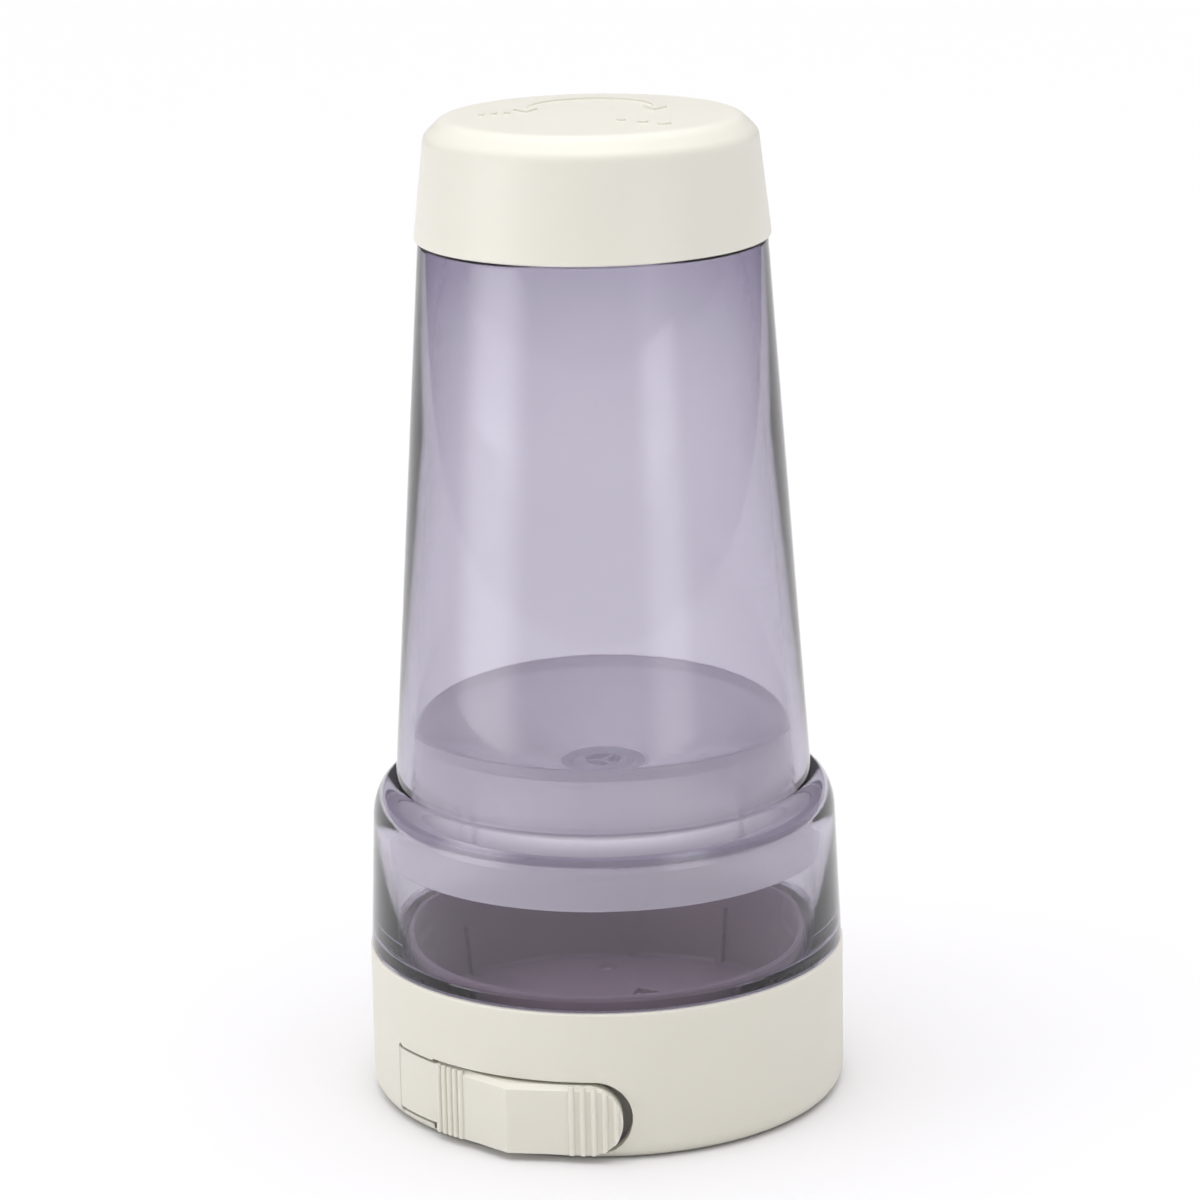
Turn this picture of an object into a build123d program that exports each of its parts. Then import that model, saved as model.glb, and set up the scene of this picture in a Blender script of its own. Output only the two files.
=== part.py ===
"""Hand-held table-salt dispenser: a tinted bottle on a white base with a side push lever.

Salt is filled in at the top, under a screw cap. It drops through a funnel into a tray in
the base. Pressing the lever swings an arm below the tray, and the arm turns a shutter disc
until its slots line up with those of the tray and of the outlet plate, so salt falls out
of the bottom.

Millimetres, +Z up. The origin is on the bottle's axis, in the plane that the base rests on.
The lever is at the front, -Y. An azimuth is counted in degrees from -Y towards +X.
"""

import os
from math import atan2, cos, degrees, hypot, radians, sin

from build123d import *

# ---- driving dimensions ----
BASE_R = 35.0  # outside of the base cup
BASE_H = 22.2  # top rim of the base cup
BASE_WALL = 1.8
FLOOR_T = 1.0
BASE_ROUNDING = 2.6

HINGE_AZIMUTH = -59.0  # the lever's hinge line, in the middle of the base wall
LEVER_Z = (1.25, 11.55)  # lower and upper edge of the lever's pad
STRIP_Z = (2.3, 11.3)  # lower and upper edge of the thin strip at the hinge
PAD_TIP_X = 1.8  # free end of the pad
CREASE_AZIMUTH = -23.5  # where the pad's two flat facets meet
SLIT = 0.45
TIP_GAP = 1.4  # room for the tip's sideways swing

SHOULDER_Z = (41.3, 47.4)  # foot and top of the bottle's bulged shoulder
BOTTLE_TOP_R = 25.0  # bottle wall just under the cap
BOTTLE_TOP_Z = 126.6
NECK_R = 22.2
NECK_BORE_R = 20.8
NECK_Z = 140.0
SPIGOT_R = (31.3, 33.1)  # the bottle's lower end, inside the base cup
SPIGOT_Z = 15.2

CAP_R = (25.5, 23.8)  # outside of the cap, at its rim and below its rounded edge
CAP_Z = (127.0, 144.2)  # rim, and the edge of the slightly domed top
CAP_CROWN = 0.6
CAP_BORE_R = 23.5
CAP_TOP_BORE_R = 22.8  # the bore is narrower above the thread
CAP_TOP_BORE_Z = (137.0, 138.0)
CAP_CEILING_Z = 141.6

FUNNEL_RIM_Z = 56.0
FUNNEL_R = 27.6
FLANGE_R = 31.8
FLANGE_Z = (36.4, 43.0)
HUB_R = 6.2
HUB_Z = (47.6, 48.9)
FUNNEL_RIB_AZIMUTHS = (-47.0, -6.3, 49.5, 133.0, 173.7, 229.5)

TRAY_R = (29.5, 30.3)
TRAY_FLOOR_Z = (3.8, 4.8)
TRAY_TOP_Z = 23.0
TRAY_RIBS = ((172.0, 22.0), (140.5, 16.5), (229.5, 14.8))  # azimuth and top of each rib

SHUTTER_R = 15.3
SHUTTER_Z = (2.55, 3.65)
SPOUT_TOP_Z = 2.4
ARM_TOP_Z = 2.3
PEG_RHO = 6.0  # crank radius of the shutter's peg
PEG_R = 1.1
PEG_SLACK = 0.12
PIN_R = 1.5
SLOT_RHO = (8.5, 13.5)
SLOT_HALF = 9.0  # half the angle that each salt slot spans
OUTLET_AZIMUTHS = (60.0, 150.0, 240.0)
SHUTTER_TURN = 19.3  # how far the shutter turns for a full press

THREAD_LEAD = 12.0
THREAD_STARTS = 3
THREAD_SWEEP = 100.0  # angle that each start covers
THREAD_H = 0.9  # how far a thread stands out of its wall
THREAD_FOOT = 1.6
THREAD_CREST = 0.9
THREAD_Z = 132.6  # where the bottle's thread begins

PART_GAP = 0.1
FAR = 60.0
UPRIGHT = (Align.CENTER, Align.CENTER, Align.MIN)


# ---- helpers ----
def at(azimuth, rho, z=0.0):
    """The point at an azimuth and a distance from the axis."""
    return Vector(rho * sin(radians(azimuth)), -rho * cos(radians(azimuth)), z)


def turned(points, roundings=()):
    """A solid turned about Z from an (r, z) outline; roundings are (r, z, radius) corners."""
    outline = make_face(Polyline(*points, close=True))
    for r, z, radius in roundings:
        corner = min(outline.vertices(), key=lambda v: hypot(v.X - r, v.Y - z))
        outline = fillet(corner, radius)
    return revolve(Plane.XZ * outline, Axis.Z)


def ring(inner_r, outer_r, low_z, high_z):
    """A plain ring, or a disc where inner_r is 0."""
    body = Pos(0, 0, low_z) * Cylinder(outer_r, high_z - low_z, align=UPRIGHT)
    if inner_r > 0:
        body -= Pos(0, 0, low_z - 1) * Cylinder(inner_r, high_z - low_z + 2, align=UPRIGHT)
    return body


def post(azimuth, rho, radius, low_z, high_z):
    """An upright round post or hole at an azimuth and a distance from the axis."""
    foot = at(azimuth, rho, low_z)
    return Pos(*foot) * Cylinder(radius, high_z - low_z, align=UPRIGHT)


def slab(face, low_z, high_z):
    """A plan outline raised from low_z to high_z."""
    return Pos(0, 0, low_z) * extrude(face, high_z - low_z)


def sector(azimuth, half_angle, rhos, low_z, high_z):
    """A block between two radii and two azimuths."""
    low, high = azimuth - half_angle, azimuth + half_angle
    inner, outer = rhos
    edges = [
        Line(at(low, inner), at(low, outer)),
        ThreePointArc(at(low, outer), at(azimuth, outer), at(high, outer)),
        Line(at(high, outer), at(high, inner)),
        ThreePointArc(at(high, inner), at(azimuth, inner), at(low, inner)),
    ]
    return slab(make_face(Wire(edges)), low_z, high_z)


def upright_rib(azimuth, width, rhos, low_z, high_z):
    """A flat rib that stands up along a wall, square to it."""
    depth = rhos[1] - rhos[0]
    middle = at(azimuth, sum(rhos) / 2, low_z)
    block = Box(width, depth, high_z - low_z, align=UPRIGHT)
    return Pos(*middle) * Rot(0, 0, azimuth) * block


def thread(wall_r, outward, foot_z):
    """The starts of a coarse thread on a round wall, all as short helical ridges."""
    side = 1 if outward else -1
    rise = THREAD_LEAD * THREAD_SWEEP / 360
    path = Helix(THREAD_LEAD, rise, wall_r)
    foot, crest = THREAD_FOOT / 2, THREAD_CREST / 2
    sunk, tip = wall_r - side * 0.2, wall_r + side * THREAD_H
    profile = make_face(
        Polyline(
            (sunk, 0, -foot),
            (tip, 0, -crest),
            (tip, 0, crest),
            (sunk, 0, foot),
            close=True,
        )
    )
    ridge = sweep(profile, path=path, is_frenet=True)
    pitch = 360 / THREAD_STARTS
    return [Pos(0, 0, foot_z) * Rot(0, 0, pitch * k) * ridge for k in range(THREAD_STARTS)]


# ---- the base ----
HINGE_RHO = BASE_R - BASE_WALL / 2
HINGE = at(HINGE_AZIMUTH, HINGE_RHO)
PEG = at(HINGE_AZIMUTH, PEG_RHO)
BASE_BORE_R = BASE_R - BASE_WALL
PLATE_R = 15.0
PLATE_STEP = 1.0
PLATE_LEDGE_Z = 0.5
KNUCKLE_R = 0.86
KNUCKLE_GAP = 0.05
STRIP_END_AZIMUTH = -45.5
SLIT_END_R = 0.55
LEVER_BORE_R = BASE_BORE_R + 0.1
PAD_TIP_R = 5.0
PAD_END_AZIMUTH = 3.2
PAD_LEFT_R, PAD_CREASE_R, PAD_TIP_RHO = 35.1, 36.9, 36.3
ARM_EYE_R = 2.6
HINGE_OVERLAP = 1.44  # how far the strip's outer skin covers the knuckle, in degrees
GUARD_R = (30.4, 30.8)  # thin wall behind the lever, which keeps the tray out of sight
GUARD_AZIMUTHS = (-66.0, 14.0)
GUARD_TOP_Z = 14.5


def pad_window():
    """The opening around the pad, cut straight back, wider at the tip for its sideways swing."""
    low, high = FLOOR_T, LEVER_Z[1] + SLIT
    left_x, right_x = at(STRIP_END_AZIMUTH - 1, BASE_R).X, PAD_TIP_X + TIP_GAP
    outline = Pos((left_x + right_x) / 2, (low + high) / 2) * Rectangle(right_x - left_x, high - low)
    right = [v for v in outline.vertices() if v.X > 0]
    outline = fillet(right, PAD_TIP_R + SLIT)
    return Pos(0, -12, 0) * extrude(Plane.XZ * outline, FAR)


def strip_window():
    """The opening around the thin strip, with the knuckle's groove and the slits' round ends."""
    low, high = STRIP_Z[0] - SLIT, STRIP_Z[1] + SLIT
    middle = (HINGE_AZIMUTH + STRIP_END_AZIMUTH) / 2
    opening = sector(middle, STRIP_END_AZIMUTH - middle, (BASE_R - 4, BASE_R + 4), low, high)
    opening += post(HINGE_AZIMUTH, HINGE_RHO, KNUCKLE_R + KNUCKLE_GAP, low, high)
    skin_gap = degrees(KNUCKLE_GAP / BASE_R)
    opening += sector(HINGE_AZIMUTH, HINGE_OVERLAP + skin_gap, (HINGE_RHO, BASE_R + 4), low, high)
    for z in (low + SLIT / 2, high - SLIT / 2):
        drill = Plane(origin=at(HINGE_AZIMUTH - 0.8, BASE_R - 4, z), z_dir=at(HINGE_AZIMUTH, 1))
        opening += drill * extrude(Circle(SLIT_END_R), 8)
    return opening


def make_guard():
    """Thin upright wall between the lever and the tray, notched for the lever's arm."""
    start, end = GUARD_AZIMUTHS
    guard = sector((start + end) / 2, (end - start) / 2, GUARD_R, FLOOR_T - 0.1, GUARD_TOP_Z)
    arm_notch = sector(-4.0, 10.0, (BASE_BORE_R - 5, BASE_BORE_R), FLOOR_T, ARM_TOP_Z + 0.5)
    return guard - arm_notch


def make_base_cup():
    """White outer cup: wall, floor, the lever's window and a stepped hole for the outlet plate."""
    cup = turned(
        [
            (PLATE_R, 0),
            (BASE_R, 0),
            (BASE_R, BASE_H),
            (BASE_BORE_R, BASE_H),
            (BASE_BORE_R, FLOOR_T),
            (PLATE_R + PLATE_STEP, FLOOR_T),
            (PLATE_R + PLATE_STEP, PLATE_LEDGE_Z),
            (PLATE_R, PLATE_LEDGE_Z),
        ],
        [(BASE_R, 0, BASE_ROUNDING), (BASE_R, BASE_H, 0.4), (BASE_BORE_R, FLOOR_T, 0.8)],
    )
    return cup - pad_window() - strip_window() + make_guard()


def pad_ridges(start, end, facet):
    """Upright half-round grip ridges, evenly spaced on a facet of the pad, top to bottom."""
    ridge_r, count = 0.42, 5
    begin, finish = facet
    ridges = []
    for k in range(count):
        share = start + (end - start) * k / (count - 1)
        foot = begin + (finish - begin) * share
        ridge = Cylinder(ridge_r, LEVER_Z[1] - LEVER_Z[0], align=UPRIGHT)
        ridges.append(Pos(foot.X, foot.Y, LEVER_Z[0]) * ridge)
    return ridges


def make_pad():
    """Thumb pad: two flat facets that meet at a crease, grip ridges and a rounded free end."""
    left, crease = at(STRIP_END_AZIMUTH, PAD_LEFT_R), at(CREASE_AZIMUTH, PAD_CREASE_R)
    tip = at(PAD_END_AZIMUTH, PAD_TIP_RHO)
    root_r = BASE_BORE_R - 4
    plan = make_face(
        Polyline(at(STRIP_END_AZIMUTH, root_r), left, crease, tip, at(PAD_END_AZIMUTH, root_r), close=True)
    )
    pad = slab(plan, *LEVER_Z)
    top_edges = pad.edges().group_by(Axis.Z)[-1]
    outer_edges = [e for e in top_edges if hypot(e.center().X, e.center().Y) > BASE_R]
    pad = chamfer(outer_edges, 0.7)
    pad += pad_ridges(0.05, 0.36, (left, crease))
    pad += pad_ridges(0.55, 0.93, (crease, tip))

    height = LEVER_Z[1] - LEVER_Z[0]
    front = Pos(PAD_TIP_X - FAR / 2, LEVER_Z[0] + height / 2) * Rectangle(FAR, height)
    right = [v for v in front.vertices() if v.X > 0]
    front = extrude(Plane.XZ * fillet(right, PAD_TIP_R), FAR)
    return (pad & front) - ring(0, LEVER_BORE_R, 0, FAR)


def make_arm():
    """Flat arm from behind the pad's tip, under the tray, to the slot that holds the shutter's peg."""
    along = (HINGE - PEG).normalized()
    plan = Pos(PEG.X, PEG.Y) * Circle(ARM_EYE_R)
    plan += make_face(
        Polyline(
            at(HINGE_AZIMUTH + 34, PEG_RHO + 0.6),
            at(-3.5, LEVER_BORE_R + 0.6),
            at(-9.5, LEVER_BORE_R + 0.6),
            at(HINGE_AZIMUTH - 25, PEG_RHO - 1.2),
            close=True,
        )
    )
    slot_centre = PEG - along * 0.2
    slot_turn = degrees(atan2(along.Y, along.X))
    slot = SlotCenterToCenter(1.0, 2 * (PEG_R + PEG_SLACK))
    plan -= Pos(slot_centre.X, slot_centre.Y) * Rot(0, 0, slot_turn) * slot
    return slab(plan, LEVER_Z[0], ARM_TOP_Z)


def make_push_lever():
    """White lever: hinge knuckle, thin flush strip, ridged pad and the arm below the tray."""
    strip_end = STRIP_END_AZIMUTH + 1
    middle = (HINGE_AZIMUTH + strip_end) / 2
    strip = sector(middle, strip_end - middle, (LEVER_BORE_R, BASE_R - 0.03), *STRIP_Z)
    knuckle = post(HINGE_AZIMUTH, HINGE_RHO, KNUCKLE_R, *STRIP_Z)
    skin = sector(HINGE_AZIMUTH, HINGE_OVERLAP, (HINGE_RHO, BASE_R - 0.03), *STRIP_Z)
    return make_pad() + strip + knuckle + skin + make_arm()


def make_outlet_plate():
    """Bottom plate with three sector spouts, a pin boss and a stepped edge that sits in the base."""
    plate = turned(
        [
            (0, 0.2),
            (PLATE_R - PART_GAP, 0.2),
            (PLATE_R - PART_GAP, PLATE_LEDGE_Z),
            (PLATE_R + PLATE_STEP - PART_GAP, PLATE_LEDGE_Z),
            (PLATE_R + PLATE_STEP - PART_GAP, FLOOR_T),
            (0, FLOOR_T),
        ]
    )
    collar = 0.9
    for azimuth in OUTLET_AZIMUTHS:
        rhos = (SLOT_RHO[0] - collar, SLOT_RHO[1] + collar)
        plate += sector(azimuth, SLOT_HALF + 4.5, rhos, FLOOR_T, SPOUT_TOP_Z)
    plate += ring(0, 2.8, FLOOR_T, SPOUT_TOP_Z)
    for azimuth in OUTLET_AZIMUTHS:
        plate -= sector(azimuth, SLOT_HALF, SLOT_RHO, 0, SPOUT_TOP_Z + 1)
    plate -= ring(0, PIN_R, 0, FAR)
    return plate - ring(0, 2.7, 0, 0.65)


def make_shutter_disc():
    """Turning disc with three slots, a hub bore on the pin and a peg that the lever's arm drives."""
    disc = ring(PIN_R + 0.06, SHUTTER_R, *SHUTTER_Z)
    for azimuth in OUTLET_AZIMUTHS:
        disc -= sector(azimuth + SHUTTER_TURN, SLOT_HALF, SLOT_RHO, 0, SHUTTER_Z[1] + 1)
    peg = post(HINGE_AZIMUTH, PEG_RHO, PEG_R, LEVER_Z[0] + 0.15, SHUTTER_Z[0] + 0.2)
    return disc + peg


def make_pivot_pin():
    """Headed pin through the outlet plate and the shutter into the tray's boss."""
    head = ring(0, 2.6, 0.25, 0.65)
    head = chamfer(head.edges().sort_by(Axis.Z)[0], 0.2)
    shank = ring(0, PIN_R, 0.65, 5.6)
    shank = chamfer(shank.edges().sort_by(Axis.Z)[-1], 0.3)
    return head + shank


def make_dose_tray():
    """Smoke-tinted inner cup: floor with three slots, pin boss, ribs, and feet on the base's floor."""
    inner, outer = TRAY_R
    floor_low, floor_top = TRAY_FLOOR_Z
    tray = turned(
        [
            (0, floor_low),
            (outer, floor_low),
            (outer, TRAY_TOP_Z),
            (inner, TRAY_TOP_Z),
            (inner, floor_top),
            (0, floor_top),
        ],
        [(inner, floor_top, 0.7), (outer, floor_low, 1.2)],
    )
    tray += ring(0, 3.2, floor_top, 6.2)
    for azimuth, high in TRAY_RIBS:
        for turn in (0, 180):
            tray += upright_rib(azimuth + turn, 1.5, (inner - 0.9, inner + 0.3), floor_top - 0.1, high)
    for azimuth in (45, 90, 135, 180, 225, 270):
        tray += post(azimuth, 24.0, 1.6, FLOOR_T, floor_low + 0.2)
    for azimuth in OUTLET_AZIMUTHS:
        tray -= sector(azimuth, SLOT_HALF, SLOT_RHO, 0, floor_top + 1)
    return tray - ring(0, PIN_R, 0, 5.7)


def make_tray_seal():
    """Soft ring between the tray and the bottle's spigot."""
    return turned(
        [(TRAY_R[1], 17.0), (SPIGOT_R[0], 17.0), (SPIGOT_R[0], 18.6), (TRAY_R[1], 18.6)],
        [(SPIGOT_R[0], 17.0, 0.3), (SPIGOT_R[0], 18.6, 0.3)],
    )


# ---- the bottle ----
WALL_T = 2.2
INNER_TOP_Z = 46.6  # where the inside of the shoulder runs into the tapered wall
BORE_CURVE = (100.0, 127.0)  # the inside curves in from the wall to the neck's bore
GROOVE_R = 32.2
GROOVE_Z = (17.2, 18.6)
SKIRT_FOOT_R = 34.8
SHOULDER_R = (34.0, 30.5)


def wall_outer_r(z):
    """Radius of the bottle's tapered outside at a height."""
    share = (z - SHOULDER_Z[1]) / (BOTTLE_TOP_Z - SHOULDER_Z[1])
    return SHOULDER_R[1] + (BOTTLE_TOP_R - SHOULDER_R[1]) * share


def quarter_ellipse(foot, top):
    """A quarter of an ellipse that starts upright at its foot and ends level at its top."""
    centre = (top[0], foot[1])
    return EllipticalCenterArc(centre, foot[0] - top[0], top[1] - foot[1], start_angle=0, arc_size=90)


def make_bottle():
    """Tinted clear bottle: threaded neck, tapered wall, bulged shoulder, skirt and spigot."""
    skirt_z, neck_foot_z = BASE_H + PART_GAP, BOTTLE_TOP_Z + 0.1
    room_r, flange_top = FLANGE_R + 0.2, FLANGE_Z[1]
    inner_top = (wall_outer_r(INNER_TOP_Z) - WALL_T, INNER_TOP_Z)
    curve_start = (wall_outer_r(BORE_CURVE[0]) - WALL_T - 0.2, BORE_CURVE[0])
    curve_end = (NECK_BORE_R, BORE_CURVE[1])

    bulge = quarter_ellipse((SHOULDER_R[0], SHOULDER_Z[0]), (SHOULDER_R[1], SHOULDER_Z[1]))
    lower = Polyline(
        (SHOULDER_R[0], SHOULDER_Z[0]),
        (SKIRT_FOOT_R, skirt_z),
        (SPIGOT_R[1], skirt_z),
        (SPIGOT_R[1], GROOVE_Z[1]),
        (GROOVE_R, GROOVE_Z[1]),
        (GROOVE_R, GROOVE_Z[0]),
        (SPIGOT_R[1], GROOVE_Z[0]),
        (SPIGOT_R[1], SPIGOT_Z),
        (SPIGOT_R[0], SPIGOT_Z),
        (SPIGOT_R[0], 21.0),
        (32.7, 24.0),
        (room_r, flange_top),
    )
    inner_bulge = quarter_ellipse((room_r, flange_top), inner_top)
    inner_wall = Line(inner_top, curve_start)
    inner_curve = TangentArc(curve_start, curve_end, tangent=inner_wall % 1)
    upper = Polyline(
        curve_end,
        (NECK_BORE_R, NECK_Z),
        (NECK_R, NECK_Z),
        (NECK_R, neck_foot_z),
        (BOTTLE_TOP_R - 0.4, neck_foot_z),
        (BOTTLE_TOP_R, BOTTLE_TOP_Z - 0.3),
        (SHOULDER_R[1], SHOULDER_Z[1]),
    )
    outline = make_face(
        Wire([bulge, *lower.edges(), inner_bulge, inner_wall, inner_curve, *upper.edges()])
    )
    for r, z, radius in ((NECK_BORE_R, NECK_Z, 0.5), (NECK_R, NECK_Z, 0.5), (SPIGOT_R[1], SPIGOT_Z, 0.5)):
        corner = min(outline.vertices(), key=lambda v: hypot(v.X - r, v.Y - z))
        outline = fillet(corner, radius)
    bottle = revolve(Plane.XZ * outline, Axis.Z)
    for start in thread(NECK_R, True, THREAD_Z):
        bottle += start
    return bottle


def make_base_seal():
    """Soft ring in the spigot's groove, against the base cup's bore."""
    low, high = GROOVE_Z
    return turned(
        [(GROOVE_R, low), (BASE_BORE_R - 0.02, low), (BASE_BORE_R - 0.02, high), (GROOVE_R, high)],
        [(BASE_BORE_R, low, 0.4), (BASE_BORE_R, high, 0.4)],
    )


# ---- the funnel ----
def make_funnel():
    """Clear funnel: shallow cone, skirt with ribs inside, and a hollow flange under the shoulder."""
    flange_low, flange_top = FLANGE_Z
    wall = 1.4
    skirt_in = FUNNEL_R - wall
    hub_low, hub_top = HUB_Z
    funnel = turned(
        [
            (FUNNEL_R, FUNNEL_RIM_Z),
            (FUNNEL_R, flange_top),
            (FLANGE_R, flange_top),
            (FLANGE_R, flange_low),
            (FLANGE_R - wall, flange_low),
            (FLANGE_R - wall, flange_top - wall),
            (skirt_in, flange_top - wall),
            (skirt_in, FUNNEL_RIM_Z - 2.0),
            (HUB_R + 1.0, hub_low),
            (HUB_R - 1.0, hub_low),
            (HUB_R - 1.0, hub_low + 0.5),
            (HUB_R, hub_low + 0.5),
            (HUB_R, hub_top),
            (HUB_R + 0.6, hub_top),
            (FUNNEL_R - 0.6, FUNNEL_RIM_Z),
        ],
        [(FLANGE_R, flange_top, 0.5), (FLANGE_R, flange_low, 0.4)],
    )
    rib_rhos = (skirt_in - 1.1, skirt_in + 0.2)
    for azimuth in FUNNEL_RIB_AZIMUTHS:
        funnel += upright_rib(azimuth, 2.4, rib_rhos, flange_top - wall, FUNNEL_RIM_Z - 3.0)
    return funnel


def make_outlet_grid():
    """Insert in the funnel's hub: a raised ring around a hole that three spokes divide."""
    hub_low, hub_top = HUB_Z
    hole_r = 2.6
    grid = turned(
        [
            (hole_r, hub_low + 0.5),
            (HUB_R - 0.05, hub_low + 0.5),
            (HUB_R - 0.05, hub_top),
            (4.4, hub_top - 0.2),
            (3.5, hub_top + 0.3),
            (hole_r, hub_top + 0.1),
        ],
        [(3.5, hub_top + 0.3, 0.25)],
    )
    hub = ring(0, 0.6, hub_low + 0.5, hub_top)
    for azimuth in (30, 150, 270):
        hub += upright_rib(azimuth, 0.7, (0.1, hole_r + 0.2), hub_low + 0.5, hub_top)
    return grid + hub


def make_funnel_gasket():
    """Flat soft ring between the funnel's flange and the bottle's shoulder."""
    return ring(FLANGE_R - 1.4, FLANGE_R, FLANGE_Z[1], FLANGE_Z[1] + 0.8)


# ---- the cap ----
def turn_mark():
    """Raised open-and-close mark on the cap: an arc with two arrowheads, bars left, dots right."""
    centre, arc_r, width = Vector(0, 4.5), 9.5, 1.0
    arc = Pos(*centre) * (Circle(arc_r + width / 2) - Circle(arc_r - width / 2))
    arc &= Pos(0, centre.Y + 8.0) * Rectangle(40, 19.0)
    mark = arc
    for side in (-1, 1):
        foot = Vector(side * arc_r * 0.97, centre.Y - 1.4)
        mark += make_face(
            Polyline(
                (foot.X - 1.7, foot.Y + 0.2),
                (foot.X + 1.7, foot.Y + 0.2),
                (foot.X - side * 0.2, foot.Y - 2.6),
                close=True,
            )
        )
    for k in range(3):
        mark += Pos(-15.4 + 1.8 * k, 1.2) * Rectangle(0.9, 3.2 - 0.7 * k)
    for k in range(3):
        mark += Pos(4.2 + 3.0 * k, -8.4 - 1.6 * k) * Circle(0.7 + 0.15 * k)
    return mark


def make_top_cap():
    """White screw cap: drafted side, rounded edge, slightly domed top, thread and raised mark."""
    rim_z, edge_z = CAP_Z
    crown = edge_z + CAP_CROWN
    shell = turned(
        [
            (0, crown),
            (CAP_R[1] - 2.6, edge_z + 0.15),
            (CAP_R[1], edge_z - 2.4),
            (CAP_R[0], rim_z),
            (CAP_BORE_R, rim_z),
            (CAP_BORE_R, CAP_TOP_BORE_Z[0]),
            (CAP_TOP_BORE_R, CAP_TOP_BORE_Z[1]),
            (CAP_TOP_BORE_R, CAP_CEILING_Z),
            (0, CAP_CEILING_Z),
        ],
        [
            (CAP_R[1] - 2.6, edge_z + 0.15, 3.0),
            (CAP_R[1], edge_z - 2.4, 2.2),
            (CAP_R[0], rim_z, 0.35),
            (CAP_TOP_BORE_R, CAP_CEILING_Z, 0.6),
        ],
    )
    for start in thread(CAP_BORE_R, False, THREAD_Z - THREAD_LEAD / THREAD_STARTS / 2):
        shell += start
    mark = slab(turn_mark(), edge_z - 0.4, crown + 0.35)
    mark_r, mark_foot_z = CAP_R[1] - 2.6, edge_z - 1
    dome = turned([(0, crown + 0.28), (mark_r, edge_z + 0.4), (mark_r, mark_foot_z), (0, mark_foot_z)])
    return shell + (mark & dome)


def make_cap_liner():
    """Soft disc under the cap's ceiling that closes the bottle's mouth."""
    edge_r, foot_z = CAP_TOP_BORE_R - 0.8, NECK_Z + PART_GAP
    return turned(
        [(0, foot_z), (edge_r, foot_z), (edge_r, CAP_CEILING_Z), (0, CAP_CEILING_Z)],
        [(edge_r, foot_z, 0.4)],
    )


PARTS = {
    "base_cup": make_base_cup,
    "push_lever": make_push_lever,
    "outlet_plate": make_outlet_plate,
    "shutter_disc": make_shutter_disc,
    "pivot_pin": make_pivot_pin,
    "dose_tray": make_dose_tray,
    "tray_seal": make_tray_seal,
    "bottle": make_bottle,
    "base_seal": make_base_seal,
    "funnel": make_funnel,
    "outlet_grid": make_outlet_grid,
    "funnel_gasket": make_funnel_gasket,
    "top_cap": make_top_cap,
    "cap_liner": make_cap_liner,
}

os.makedirs("parts", exist_ok=True)
for name, make in PARTS.items():
    export_step(make(), f"parts/{name}.step")
    print("wrote", name)
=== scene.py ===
# %% [markdown]
# # A hand-held table salt dispenser
#
# The object is a small kitchen bottle that is held in one hand. A white screw cap closes a
# tapered bottle of lavender clear plastic. A milky funnel stands in the bottle's wide foot and
# drops the salt into a dark mauve tray. Around the tray sits a white base, and a ridged
# thumb lever is cut from its wall.
#
# The engineering model is loaded first and stays as it is. Its box gives every size and place
# below, so nothing has to be fitted by eye.

# %% Load the engineering model
import math

import bpy
from mathutils import Matrix, Vector


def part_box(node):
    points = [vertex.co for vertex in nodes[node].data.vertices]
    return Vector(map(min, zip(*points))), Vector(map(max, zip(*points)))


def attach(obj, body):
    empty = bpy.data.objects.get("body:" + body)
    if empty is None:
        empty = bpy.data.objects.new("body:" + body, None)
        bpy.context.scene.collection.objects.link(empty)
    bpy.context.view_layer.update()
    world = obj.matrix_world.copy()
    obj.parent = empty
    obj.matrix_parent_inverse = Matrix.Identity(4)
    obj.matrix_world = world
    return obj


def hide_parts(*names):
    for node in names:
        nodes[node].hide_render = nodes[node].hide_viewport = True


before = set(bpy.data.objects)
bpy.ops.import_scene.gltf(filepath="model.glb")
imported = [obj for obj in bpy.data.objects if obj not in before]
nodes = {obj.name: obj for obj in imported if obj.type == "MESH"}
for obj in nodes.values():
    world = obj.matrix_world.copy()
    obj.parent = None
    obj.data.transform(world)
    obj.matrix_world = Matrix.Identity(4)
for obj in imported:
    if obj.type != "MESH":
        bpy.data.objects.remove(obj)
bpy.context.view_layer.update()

MM = 0.001

# %% [markdown]
# ## Camera
#
# A kitchen bottle is usually shown from a little above, through a long lens, so that its
# upright sides stay nearly parallel. The camera looks at the middle of the object from 15
# degrees above, and it is turned a little about its own axis, as a hand-set tripod is.

# %% Camera
ELEVATION = math.radians(14.81)
DISTANCE = 0.6166
TARGET_HEIGHT = 0.0733
ROLL = math.radians(1.15)
LENS_MM = 127.1
SENSOR_MM = 36.0

camera_data = bpy.data.cameras.new("camera")
camera = bpy.data.objects.new("camera", camera_data)
bpy.context.scene.collection.objects.link(camera)
camera_data.sensor_width = SENSOR_MM
camera_data.lens = LENS_MM
camera_data.clip_start = 0.01
reach, rise = math.cos(ELEVATION) * DISTANCE, math.sin(ELEVATION) * DISTANCE
camera.location = (0, -reach, TARGET_HEIGHT + rise)
level = Matrix.Rotation(math.pi / 2 - ELEVATION, 3, "X")
camera.rotation_euler = (level @ Matrix.Rotation(-ROLL, 3, "Z")).to_euler()
bpy.context.scene.camera = camera
print("field of view, degrees:", round(math.degrees(camera_data.angle), 2))

# %% [markdown]
# ## Floor and light
#
# The floor is a sheet of white paper. A bright ceiling lights the cap's top and the paper, and
# the room is darker and slightly purple near the horizon, as walls are that catch the bottle's
# own colour. Clear plastic shows only what it reflects and bends, so
# two soft panels stand on the floor in front, left and right of the camera. Each fades out
# towards its edges, because a hard edge would cut a hard stripe into the bottle.

# %% Paper floor


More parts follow.
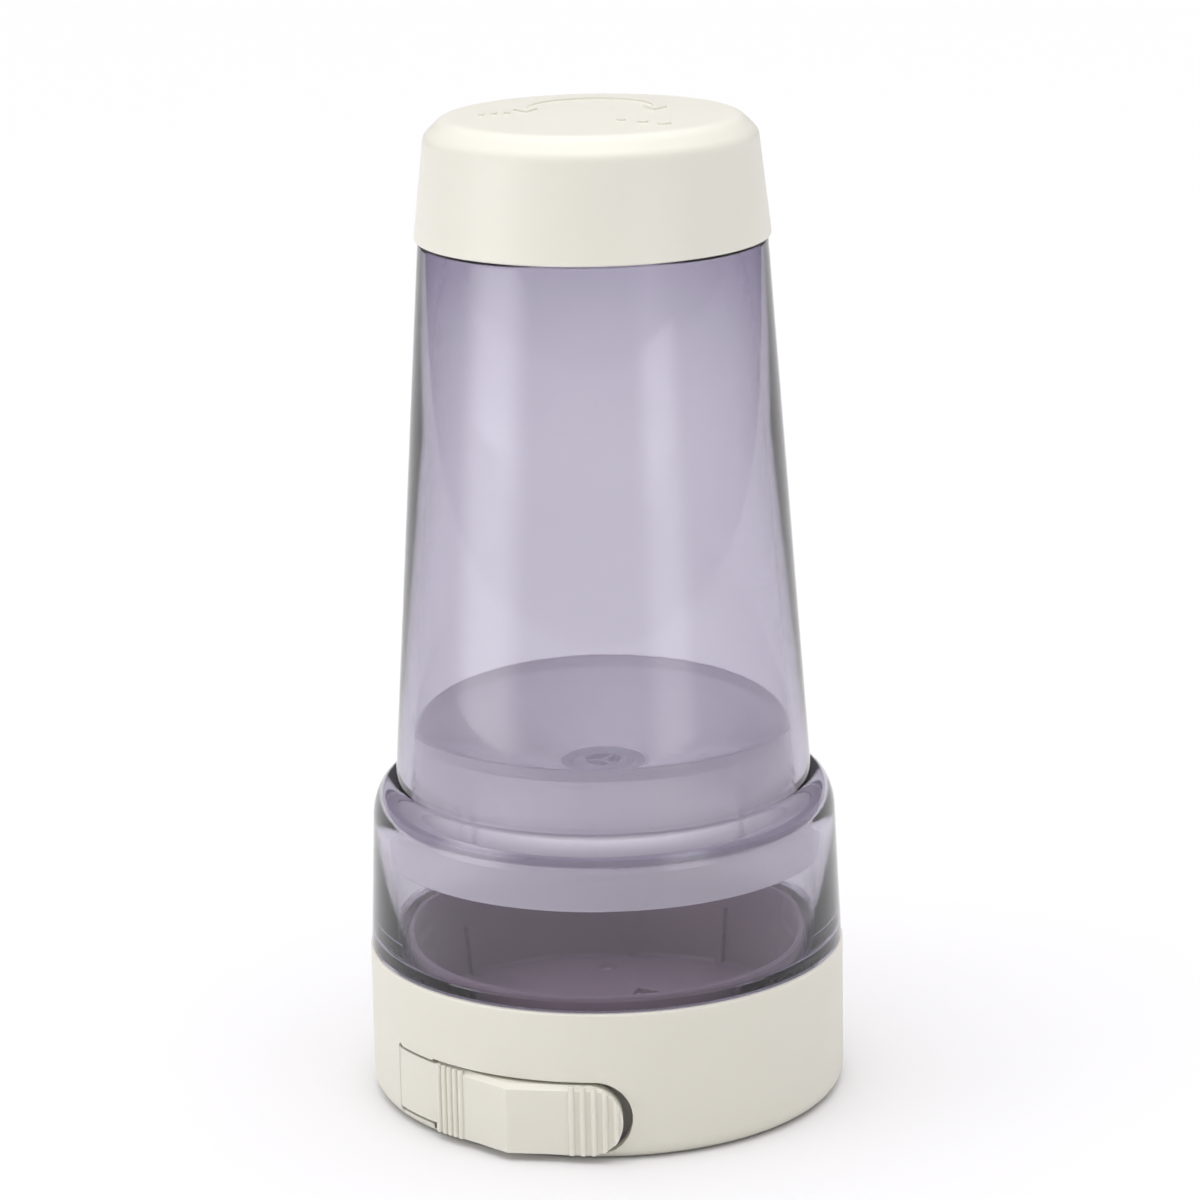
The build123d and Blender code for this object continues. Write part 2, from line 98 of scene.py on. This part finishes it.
def clear_selection():
    if bpy.context.object and bpy.context.object.mode != "OBJECT":
        bpy.ops.object.mode_set(mode="OBJECT")
    bpy.ops.object.select_all(action="DESELECT")


def make_active(piece):
    """Selects one piece alone, so that the next operator acts on it."""
    clear_selection()
    piece.select_set(True)
    bpy.context.view_layer.objects.active = piece


def new_material(name):
    """A material with a Principled shader, and its node and link lists."""
    material = bpy.data.materials.new(name)
    material.use_nodes = True
    tree = material.node_tree
    return material, tree.nodes, tree.links, tree.nodes["Principled BSDF"]


def paper():
    """Matt white paper with a fine fibre."""
    material, made, links, shader = new_material("white_paper")
    place = made.new("ShaderNodeTexCoord")
    fibre = made.new("ShaderNodeTexNoise")
    fibre.inputs["Scale"].default_value = 900.0
    bump = made.new("ShaderNodeBump")
    bump.inputs["Strength"].default_value = 0.05
    bump.inputs["Distance"].default_value = 0.0002
    links.new(place.outputs["Object"], fibre.inputs["Vector"])
    links.new(fibre.outputs["Fac"], bump.inputs["Height"])
    links.new(bump.outputs["Normal"], shader.inputs["Normal"])
    shader.inputs["Base Color"].default_value = (0.76, 0.76, 0.76, 1)
    shader.inputs["Roughness"].default_value = 0.9
    shader.inputs["Specular IOR Level"].default_value = 0.1
    return material


FLOOR_SIZE = 8.0

clear_selection()
bpy.ops.mesh.primitive_plane_add(size=FLOOR_SIZE, location=(0, 0, 0))
floor = bpy.context.active_object
floor.name = "floor"
floor.data.materials.append(paper())

# %% Room light: bright above, dim near the horizon
HORIZON = 0.27
ZENITH = 3.6

world = bpy.data.worlds.new("studio")
bpy.context.scene.world = world
world.use_nodes = True
sky = world.node_tree
direction = sky.nodes.new("ShaderNodeTexCoord")
parts = sky.nodes.new("ShaderNodeSeparateXYZ")
steep = sky.nodes.new("ShaderNodeMath")
steep.operation = "POWER"
steep.use_clamp = True
steep.inputs[1].default_value = 4.0
level_up = sky.nodes.new("ShaderNodeMapRange")
level_up.inputs["To Min"].default_value = HORIZON
level_up.inputs["To Max"].default_value = ZENITH
lift = sky.nodes.new("ShaderNodeMath")
lift.operation = "MAXIMUM"
lift.inputs[1].default_value = 0.0
sky.links.new(direction.outputs["Generated"], parts.inputs["Vector"])
sky.links.new(parts.outputs["Z"], lift.inputs[0])
sky.links.new(lift.outputs["Value"], steep.inputs[0])
sky.links.new(steep.outputs["Value"], level_up.inputs["Value"])
sky.links.new(level_up.outputs["Result"], sky.nodes["Background"].inputs["Strength"])
tone = sky.nodes.new("ShaderNodeMix")
tone.data_type = "RGBA"
tone.inputs["A"].default_value = (0.84, 0.79, 0.95, 1)
tone.inputs["B"].default_value = (1.0, 0.995, 0.985, 1)
sky.links.new(lift.outputs["Value"], tone.inputs["Factor"])
sky.links.new(tone.outputs["Result"], sky.nodes["Background"].inputs["Color"])

# %% Soft panels


def glow(name, strength):
    """A light surface that fades from its middle line to its left and right edges.

    The light is added to a see-through surface, so the faded parts hide nothing behind them.
    """
    material, made, links, shader = new_material(name)
    made.remove(shader)
    place = made.new("ShaderNodeTexCoord")
    split = made.new("ShaderNodeSeparateXYZ")
    away = made.new("ShaderNodeMath")
    away.operation = "ABSOLUTE"
    fade = made.new("ShaderNodeMapRange")
    fade.interpolation_type = "SMOOTHERSTEP"
    fade.inputs["From Min"].default_value = 0.5
    fade.inputs["From Max"].default_value = 0.05
    fade.inputs["To Min"].default_value = 0.0
    fade.inputs["To Max"].default_value = strength
    light = made.new("ShaderNodeEmission")
    links.new(place.outputs["Object"], split.inputs["Vector"])
    links.new(split.outputs["X"], away.inputs[0])
    links.new(away.outputs["Value"], fade.inputs["Value"])
    links.new(fade.outputs["Result"], light.inputs["Strength"])
    see_through = made.new("ShaderNodeBsdfTransparent")
    both = made.new("ShaderNodeAddShader")
    links.new(light.outputs["Emission"], both.inputs[0])
    links.new(see_through.outputs["BSDF"], both.inputs[1])
    links.new(both.outputs["Shader"], made["Material Output"].inputs["Surface"])
    return material


def soft_panel(name, azimuth, distance, width, height, strength):
    """A panel that stands on the floor and faces the object. Azimuth 0 is the camera's side."""
    turn = math.radians(azimuth)
    clear_selection()
    bpy.ops.mesh.primitive_plane_add(
        size=1.0,
        location=(math.sin(turn) * distance, -math.cos(turn) * distance, height / 2 + 0.001),
        rotation=(math.pi / 2, 0, turn),
    )
    panel = bpy.context.active_object
    panel.name = name
    panel.scale = (width, height, 1)
    panel.data.materials.append(glow(name + "_glow", strength))
    panel.visible_camera = False
    return panel


soft_panel("panel_left", -66, 0.46, 0.50, 0.24, 2.5)
soft_panel("panel_right", 39, 0.50, 0.34, 0.22, 1.7)

# %% [markdown]
# ## Bottle
#
# The real bottle is injection moulded from clear styrene plastic with a lavender tint. Its wall
# is about 2.2 mm thick and grows thicker towards the neck, and the shoulder bulges out over the
# funnel's flange. Clear plastic bends light, so every flat facet of a mesh would show as a
# streak. The bottle is therefore turned again as a smooth shell: a circle is extruded from ring
# to ring along the outline, with close rings where the outline is curved.

# %% Turning helper


def quarter_curve(foot, top, steps):
    """Points on a quarter ellipse that starts upright at its foot and ends level at its top."""
    width, rise = foot[0] - top[0], top[1] - foot[1]
    angles = [math.pi / 2 * k / steps for k in range(steps + 1)]
    return [(top[0] + width * math.cos(a), foot[1] + rise * math.sin(a)) for a in angles]


def bend(start, end, slope, steps):
    """Points on an arc that leaves its start at the given slope, radius lost per height gained."""
    lean = math.atan(slope)
    chord = math.hypot(end[0] - start[0], end[1] - start[1])
    chord_lean = math.atan2(start[0] - end[0], end[1] - start[1])
    half = chord_lean - lean
    radius = chord / (2 * math.sin(half))
    points = []
    for k in range(steps + 1):
        a = lean + 2 * half * k / steps
        r = start[0] - radius * (math.cos(lean) - math.cos(a))
        z = start[1] + radius * (math.sin(a) - math.sin(lean))
        points.append((r, z))
    return points


def turned(name, outline, segments):
    """Extrudes a circle from ring to ring round a closed (radius, height) outline in metres."""
    clear_selection()
    first_r, first_z = outline[0]
    bpy.ops.mesh.primitive_circle_add(vertices=segments, radius=first_r, location=(0, 0, 0))
    piece = bpy.context.active_object
    piece.name = name
    bpy.ops.object.mode_set(mode="EDIT")
    bpy.ops.transform.translate(value=(0, 0, first_z))
    radius, height = first_r, first_z
    for r, z in [*outline[1:], outline[0]]:
        bpy.ops.mesh.extrude_edges_move(TRANSFORM_OT_translate={"value": (0, 0, z - height)})
        if abs(r - radius) > 1e-9:
            grow = r / radius
            bpy.ops.transform.resize(value=(grow, grow, 1), center_override=(0, 0, z))
        radius, height = r, z
    bpy.ops.mesh.select_all(action="SELECT")
    bpy.ops.mesh.remove_doubles(threshold=0.5e-6)
    bpy.ops.mesh.normals_make_consistent(inside=False)
    bpy.ops.object.mode_set(mode="OBJECT")
    print(name, "has", len(piece.data.polygons), "faces")
    return piece


# %% Bottle dimensions
WALL = 2.2 * MM
SEGMENTS = 192
SMOOTH_BELOW = math.radians(30)
SKIRT_GAP = 0.1 * MM
EDGE_ROUNDING = 0.5 * MM
INNER_TOP_Z = 46.6 * MM
BEND_START_Z, BEND_END_Z = 100 * MM, 127 * MM
BEND_INSET = 0.2 * MM

shell_low, shell_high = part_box("bottle")
cup_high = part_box("base_cup")[1]
cap_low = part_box("top_cap")[0]
funnel_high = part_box("funnel")[1]
gasket_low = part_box("funnel_gasket")[0]

skirt_r, skirt_z = shell_high.x, cup_high.z + SKIRT_GAP
shoulder_foot = (34.0 * MM, 41.3 * MM)
shoulder_top = (30.5 * MM, 47.4 * MM)
rim = (25.0 * MM, cap_low.z - 0.7 * MM)
taper_top_z = cap_low.z - 0.4 * MM
neck_r, bore_r = 22.2 * MM, 20.8 * MM
spigot_in, spigot_out, groove_r = 31.3 * MM, 33.1 * MM, 32.2 * MM
groove_low, groove_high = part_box("base_seal")[0].z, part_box("base_seal")[1].z
room_r = funnel_high.x + 0.2 * MM


def wall_r(z):
    """Outer radius of the tapered wall."""
    share = (z - shoulder_top[1]) / (taper_top_z - shoulder_top[1])
    return shoulder_top[0] + (rim[0] - shoulder_top[0]) * share


inner_top = (wall_r(INNER_TOP_Z) - WALL, INNER_TOP_Z)
bend_start = (wall_r(BEND_START_Z) - WALL - BEND_INSET, BEND_START_Z)
inner_slope = (inner_top[0] - bend_start[0]) / (bend_start[1] - inner_top[1])
print("tapered wall, mm:", round(inner_top[0] / MM, 2), "to", round(bend_start[0] / MM, 2))

# %% Bottle shell
shell_outline = [
    (skirt_r, skirt_z + 0.12 * MM),
    (skirt_r - 0.12 * MM, skirt_z),
    (spigot_out, skirt_z),
    (spigot_out, groove_high),
    (groove_r, groove_high),
    (groove_r, groove_low),
    (spigot_out, groove_low),
    (spigot_out, shell_low.z + EDGE_ROUNDING),
    (spigot_out - EDGE_ROUNDING, shell_low.z),
    (spigot_in, shell_low.z),
    (spigot_in, 20.8 * MM),
    (31.45 * MM, 21.4 * MM),
    (32.55 * MM, 23.6 * MM),
    (32.7 * MM, 24.2 * MM),
    (room_r, gasket_low.z),
    *quarter_curve((room_r, gasket_low.z), inner_top, 18)[1:],
    *bend(bend_start, (bore_r, BEND_END_Z), inner_slope, 14),
    (bore_r, shell_high.z - EDGE_ROUNDING),
    (bore_r + 0.15 * MM, shell_high.z - 0.15 * MM),
    (bore_r + EDGE_ROUNDING, shell_high.z),
    (neck_r - EDGE_ROUNDING, shell_high.z),
    (neck_r - 0.15 * MM, shell_high.z - 0.15 * MM),
    (neck_r, shell_high.z - EDGE_ROUNDING),
    (neck_r, cap_low.z - 0.3 * MM),
    (rim[0] - 0.4 * MM, cap_low.z - 0.3 * MM),
    (rim[0] - 0.12 * MM, cap_low.z - 0.42 * MM),
    rim,
    *reversed(quarter_curve(shoulder_foot, shoulder_top, 24)),
]
bottle_shell = turned("bottle_shell", shell_outline, SEGMENTS)

# %% [markdown]
# ## Thread on the neck
#
# The cap turns down on a coarse thread with three starts, so it comes off in well under a
# turn. Each start is a short ridge that climbs round the neck. A ridge has one cross-section all
# along, so its outline is drawn once, the Screw modifier carries it round and up, and the ridge
# is copied twice. A Boolean union then melts the ridges into the bottle, because clear plastic
# would show a seam where two bodies only overlap.

# %% Thread dimensions
THREAD_STARTS = 3
THREAD_STEPS = 40
THREAD_LEAD = 12.0 * MM
THREAD_SWEEP = math.radians(100)
THREAD_RISE = THREAD_LEAD * THREAD_SWEEP / (2 * math.pi)
THREAD_OUT, THREAD_SUNK = 0.9 * MM, 0.2 * MM
THREAD_FOOT, THREAD_CREST = 1.6 * MM, 0.9 * MM
THREAD_Z = 132.6 * MM

# %% One start of the thread


def thread_start(name):
    """One start: a trapezium beside the neck, screwed round the axis, with its two ends closed."""
    clear_selection()
    bpy.ops.mesh.primitive_plane_add(size=1.0, location=(0, 0, 0))
    start = bpy.context.active_object
    start.name = name
    bpy.ops.object.mode_set(mode="EDIT")
    bpy.ops.mesh.delete(type="ONLY_FACE")
    bpy.ops.mesh.select_all(action="SELECT")
    bpy.ops.transform.rotate(value=math.pi / 2, orient_axis="X", center_override=(0, 0, 0))
    depth = THREAD_OUT + THREAD_SUNK
    bpy.ops.transform.resize(value=(depth, 1, THREAD_FOOT), center_override=(0, 0, 0))
    bpy.ops.mesh.select_all(action="DESELECT")
    bpy.ops.object.mode_set(mode="OBJECT")
    for corner in start.data.vertices:
        corner.select = corner.co.x > 0
    bpy.ops.object.mode_set(mode="EDIT")
    narrow = THREAD_CREST / THREAD_FOOT
    bpy.ops.transform.resize(value=(1, 1, narrow), center_override=(0, 0, 0))
    bpy.ops.mesh.select_all(action="SELECT")
    middle = neck_r + (THREAD_OUT - THREAD_SUNK) / 2
    bpy.ops.transform.translate(value=(middle, 0, THREAD_Z))
    bpy.ops.object.mode_set(mode="OBJECT")
    screw = start.modifiers.new("screw", "SCREW")
    screw.angle = THREAD_SWEEP
    screw.screw_offset = THREAD_RISE
    screw.steps = THREAD_STEPS
    screw.render_steps = THREAD_STEPS
    bpy.ops.object.modifier_apply(modifier=screw.name)
    bpy.ops.object.mode_set(mode="EDIT")
    bpy.ops.mesh.select_all(action="SELECT")
    bpy.ops.mesh.fill_holes(sides=4)
    bpy.ops.mesh.normals_make_consistent(inside=False)
    bpy.ops.object.mode_set(mode="OBJECT")
    return start


def turned_copy(piece, turn):
    """A copy with its own mesh, turned about the bottle's axis."""
    copy = piece.copy()
    copy.data = piece.data.copy()
    bpy.context.scene.collection.objects.link(copy)
    make_active(copy)
    bpy.ops.object.mode_set(mode="EDIT")
    bpy.ops.mesh.select_all(action="SELECT")
    bpy.ops.transform.rotate(value=turn, orient_axis="Z", center_override=(0, 0, 0))
    bpy.ops.object.mode_set(mode="OBJECT")
    return copy


def lowest_and_highest(piece):
    """Where the lowest and the highest point of a piece are, in millimetres."""
    points = sorted((v.co for v in piece.data.vertices), key=lambda co: co.z)
    return [tuple(round(x / MM, 2) for x in point) for point in (points[0], points[-1])]


# %% Join the three starts to the neck
starts = [thread_start("thread_start")]
for k in range(1, THREAD_STARTS):
    starts.append(turned_copy(starts[0], -2 * math.pi * k / THREAD_STARTS))
for start in starts:
    print("thread start, mm:", lowest_and_highest(start))
    make_active(bottle_shell)
    joined = bottle_shell.modifiers.new("thread", "BOOLEAN")
    joined.operation = "UNION"
    joined.solver = "EXACT"
    joined.object = start
    bpy.ops.object.modifier_apply(modifier=joined.name)
    bpy.data.objects.remove(start)
print("bottle_shell with its thread:", len(bottle_shell.data.polygons), "faces")

# %% Smooth the bottle and give it its place
make_active(bottle_shell)
bpy.ops.object.shade_smooth_by_angle(angle=SMOOTH_BELOW)
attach(bottle_shell, "body")
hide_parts("bottle")

# %% [markdown]
# ## Finishes
#
# Three kinds of plastic make the object: opaque white, clear tinted and milky. All of them come
# from steel moulds, so they share one effect: a fine satin grain, slow waves where the plastic
# shrank, and faint marks of handling. It is built once as a node group that puts out a colour,
# a roughness and a normal, and each material gives it its own amounts.

# %% Shared effect: the skin of a moulded part


def moulded_skin():
    """A node group with the satin grain, slow waves and handling marks of moulded plastic."""
    group = bpy.data.node_groups.new("moulded_skin", "ShaderNodeTree")
    face = group.interface
    for label, kind, value in (
        ("Colour", "NodeSocketColor", (0.8, 0.8, 0.8, 1)),
        ("Shade", "NodeSocketColor", (0.7, 0.7, 0.7, 1)),
        ("Roughness", "NodeSocketFloat", 0.4),
        ("Roughness Change", "NodeSocketFloat", 0.05),
        ("Grain Size", "NodeSocketFloat", 3500.0),
        ("Grain Depth", "NodeSocketFloat", 0.1),
        ("Wave Depth", "NodeSocketFloat", 0.1),
    ):
        socket = face.new_socket(name=label, in_out="INPUT", socket_type=kind)
        socket.default_value = value
    for label, kind in (
        ("Colour", "NodeSocketColor"),
        ("Roughness", "NodeSocketFloat"),
        ("Normal", "NodeSocketVector"),
    ):
        face.new_socket(name=label, in_out="OUTPUT", socket_type=kind)
    made, links = group.nodes, group.links
    given, result = made.new("NodeGroupInput"), made.new("NodeGroupOutput")
    place = made.new("ShaderNodeTexCoord")

    def noise(scale, detail):
        texture = made.new("ShaderNodeTexNoise")
        texture.inputs["Scale"].default_value = scale
        texture.inputs["Detail"].default_value = detail
        links.new(place.outputs["Object"], texture.inputs["Vector"])
        return texture

    cloud, smear, wave, grain = noise(45, 3), noise(160, 5), noise(70, 1), noise(3500, 2)
    links.new(given.outputs["Grain Size"], grain.inputs["Scale"])
    mix = made.new("ShaderNodeMix")
    mix.data_type = "RGBA"
    links.new(cloud.outputs["Fac"], mix.inputs["Factor"])
    links.new(given.outputs["Colour"], mix.inputs["A"])
    links.new(given.outputs["Shade"], mix.inputs["B"])
    centred = made.new("ShaderNodeMath")
    centred.operation = "SUBTRACT"
    centred.inputs[1].default_value = 0.5
    links.new(smear.outputs["Fac"], centred.inputs[0])
    rough = made.new("ShaderNodeMath")
    rough.operation = "MULTIPLY_ADD"
    links.new(centred.outputs["Value"], rough.inputs[0])
    links.new(given.outputs["Roughness Change"], rough.inputs[1])
    links.new(given.outputs["Roughness"], rough.inputs[2])
    slow = made.new("ShaderNodeBump")
    slow.inputs["Distance"].default_value = 0.0004
    links.new(given.outputs["Wave Depth"], slow.inputs["Strength"])
    links.new(wave.outputs["Fac"], slow.inputs["Height"])
    fine = made.new("ShaderNodeBump")
    fine.inputs["Distance"].default_value = 0.00004
    links.new(given.outputs["Grain Depth"], fine.inputs["Strength"])
    links.new(grain.outputs["Fac"], fine.inputs["Height"])
    links.new(slow.outputs["Normal"], fine.inputs["Normal"])
    links.new(mix.outputs["Result"], result.inputs["Colour"])
    links.new(rough.outputs["Value"], result.inputs["Roughness"])
    links.new(fine.outputs["Normal"], result.inputs["Normal"])
    return group


skin_group = moulded_skin()


def add_skin(made, links, shader, colour, shade, rough, change, size, depth, wave):
    """Places the moulded skin in a material and joins it to the shader."""
    skin = made.new("ShaderNodeGroup")
    skin.node_tree = skin_group
    for label, value in (
        ("Colour", (*colour, 1)),
        ("Shade", (*shade, 1)),
        ("Roughness", rough),
        ("Roughness Change", change),
        ("Grain Size", size),
        ("Grain Depth", depth),
        ("Wave Depth", wave),
    ):
        skin.inputs[label].default_value = value
    links.new(skin.outputs["Colour"], shader.inputs["Base Color"])
    links.new(skin.outputs["Roughness"], shader.inputs["Roughness"])
    links.new(skin.outputs["Normal"], shader.inputs["Normal"])


# %% White and soft plastics


def opaque(name, colour, shade, rough, change, size, depth, wave):
    """Opaque plastic. A little light spreads below its surface, which softens narrow gaps."""
    material, made, links, shader = new_material(name)
    add_skin(made, links, shader, colour, shade, rough, change, size, depth, wave)
    shader.inputs["Subsurface Weight"].default_value = 0.3
    shader.inputs["Subsurface Radius"].default_value = (1.0, 0.95, 0.85)
    shader.inputs["Subsurface Scale"].default_value = 1.6 * MM
    return material


white_tone, white_shade = (0.735, 0.718, 0.628), (0.720, 0.702, 0.612)
cap_tone, cap_shade = (0.770, 0.757, 0.668), (0.756, 0.742, 0.652)
white = opaque("warm_white_plastic", white_tone, white_shade, 0.42, 0.10, 3200, 0.25, 0.08)
cap_white = opaque("cap_white_plastic", cap_tone, cap_shade, 0.38, 0.10, 3200, 0.2, 0.08)
seal = opaque("grey_soft_seal", (0.42, 0.40, 0.45), (0.36, 0.34, 0.39), 0.6, 0.12, 2500, 0.4, 0.1)

# %% Clear and milky plastics


def tinted(name, colour, shade, rough, through, lost_per_mm, wave, ior=1.5):
    """Clear plastic. lost_per_mm is the share of red, green and blue that a millimetre takes."""
    material, made, links, shader = new_material(name)
    add_skin(made, links, shader, colour, shade, rough, 0.02, 1800, 0.05, wave)
    shader.inputs["Transmission Weight"].default_value = through
    shader.inputs["IOR"].default_value = ior
    density = max(lost_per_mm) * 1.25 / MM
    tint = made.new("ShaderNodeVolumeAbsorption")
    tint.inputs["Density"].default_value = density
    tint.inputs["Color"].default_value = (*(1 - x / MM / density for x in lost_per_mm), 1)
    out = made["Material Output"]
    links.new(tint.outputs["Volume"], out.inputs["Volume"])
    ray = made.new("ShaderNodeLightPath")
    open_way = made.new("ShaderNodeBsdfTransparent")
    open_way.inputs["Color"].default_value = (0.9, 0.9, 0.92, 1)
    choose = made.new("ShaderNodeMixShader")
    links.new(ray.outputs["Is Shadow Ray"], choose.inputs["Fac"])
    links.new(shader.outputs["BSDF"], choose.inputs[1])
    links.new(open_way.outputs["BSDF"], choose.inputs[2])
    links.new(choose.outputs["Shader"], out.inputs["Surface"])
    return material


# Lavender styrene: clear as glass, and its colour deepens with the plastic's thickness.
clear_tone, clear_shade = (1.0, 1.0, 1.0), (0.97, 0.97, 0.98)
lavender_loss = (0.122, 0.132, 0.100)
lavender = tinted("lavender_clear_plastic", clear_tone, clear_shade, 0.03, 1.0, lavender_loss, 0.04)

# The funnel is milky: half of the light scatters at its surface and half goes through.
milky_tone, milky_shade = (0.98, 0.96, 0.96), (0.95, 0.93, 0.93)
milky_loss = (0.012, 0.016, 0.012)
milky = tinted("milky_plastic", milky_tone, milky_shade, 0.20, 0.50, milky_loss, 0.05)

# The hub insert and the pivot pin are of the same kind, a little greyer.
hub_tone, hub_shade = (0.80, 0.78, 0.82), (0.74, 0.72, 0.77)
hub_loss = (0.08, 0.09, 0.07)
milky_hub = tinted("milky_hub_plastic", hub_tone, hub_shade, 0.25, 0.4, hub_loss, 0.05)

# The tray is dark mauve, and darker where a rib makes it thicker.
dark_mauve_tone, dark_mauve_shade = (0.72, 0.61, 0.65), (0.66, 0.56, 0.60)
dark_mauve_loss = (0.28, 0.37, 0.31)
dark_mauve = tinted("smoke_plastic", dark_mauve_tone, dark_mauve_shade, 0.14, 0.65, dark_mauve_loss, 0.06)

# %% Give each piece its finish
finishes = {
    "base_cup": white,
    "push_lever": white,
    "outlet_plate": white,
    "shutter_disc": white,
    "top_cap": cap_white,
    "funnel": milky,
    "outlet_grid": milky_hub,
    "pivot_pin": milky_hub,
    "dose_tray": dark_mauve,
    "tray_seal": seal,
    "base_seal": seal,
    "funnel_gasket": seal,
    "cap_liner": seal,
}
for name, material in finishes.items():
    mesh = nodes[name].data
    mesh.materials.clear()
    mesh.materials.append(material)
bottle_shell.data.materials.append(lavender)
print("finishes given to", len(finishes) + 1, "pieces")

# %% Close the scene
scene = bpy.context.scene
scene.view_settings.view_transform = "Standard"
